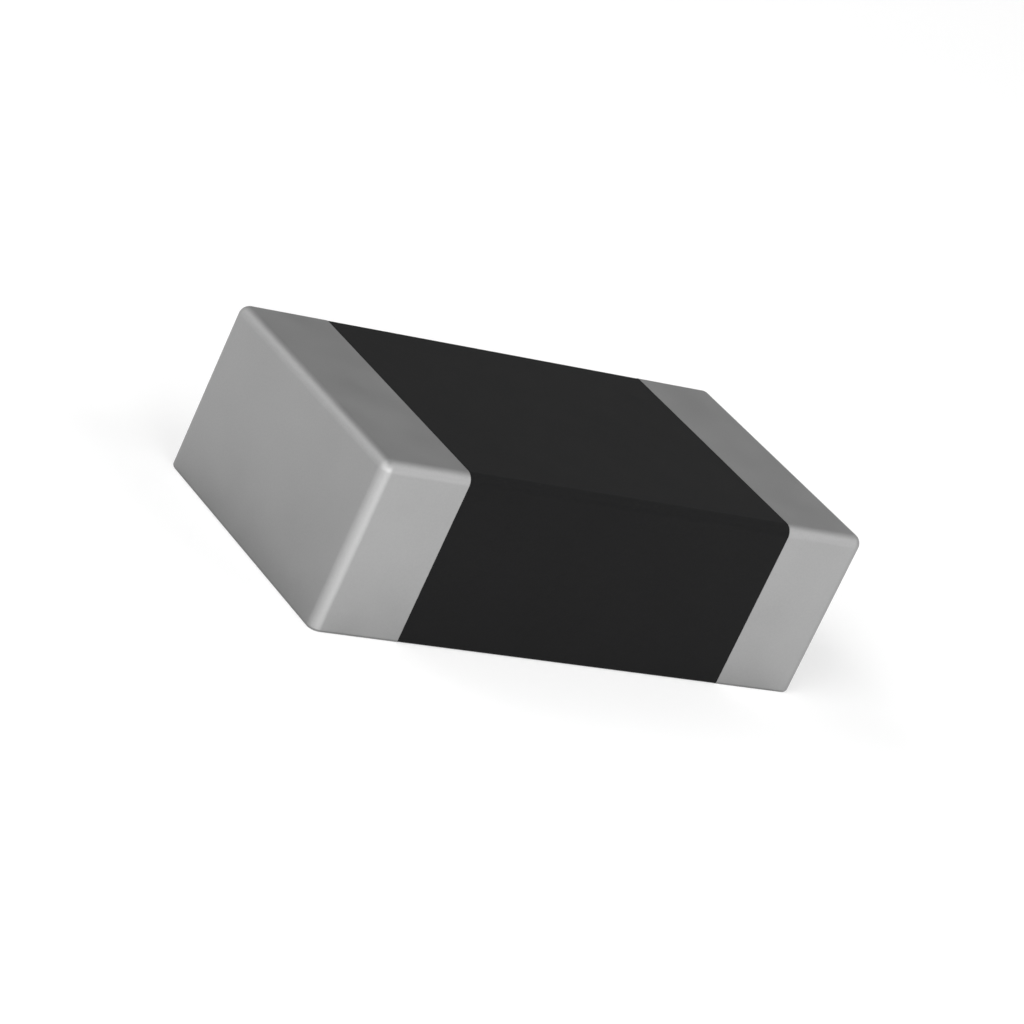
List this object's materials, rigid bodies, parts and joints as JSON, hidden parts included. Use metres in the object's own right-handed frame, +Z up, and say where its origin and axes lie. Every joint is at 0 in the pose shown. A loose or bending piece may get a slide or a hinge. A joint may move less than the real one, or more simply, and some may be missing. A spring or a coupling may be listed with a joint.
{
  "type": "smd chip resistor",
  "caption": "Surface-mount chip resistor: a black coated resistive ceramic block with rounded edges, its ends wrapped in matte grey solder terminations.",
  "frame": {"origin": "centre of the footprint, on the plane that the undersides of the terminations rest on", "axes": "+X along the chip from the left to the right termination, +Y across it to the back, +Z up from the board"},
  "size_m": [0.0032, 0.0016, 0.001],
  "materials": {
    "ceramic": "satin",
    "coat": "satin",
    "tin": "matte",
    "nickel": "satin",
    "silver": "matte",
    "inner_electrode": "matte"
  },
  "bodies": {
    "root": {"ceramic_body": "ceramic", "protective_coat": "coat", "left_inner_electrode_1": "inner_electrode", "left_inner_electrode_2": "inner_electrode", "left_inner_electrode_3": "inner_electrode", "left_inner_electrode_4": "inner_electrode", "right_inner_electrode_1": "inner_electrode", "right_inner_electrode_2": "inner_electrode", "right_inner_electrode_3": "inner_electrode", "right_inner_electrode_4": "inner_electrode", "left_silver_base": "silver", "left_nickel_barrier": "nickel", "left_tin_finish": "tin", "right_silver_base": "silver", "right_nickel_barrier": "nickel", "right_tin_finish": "tin"}
  },
  "joints": []
}
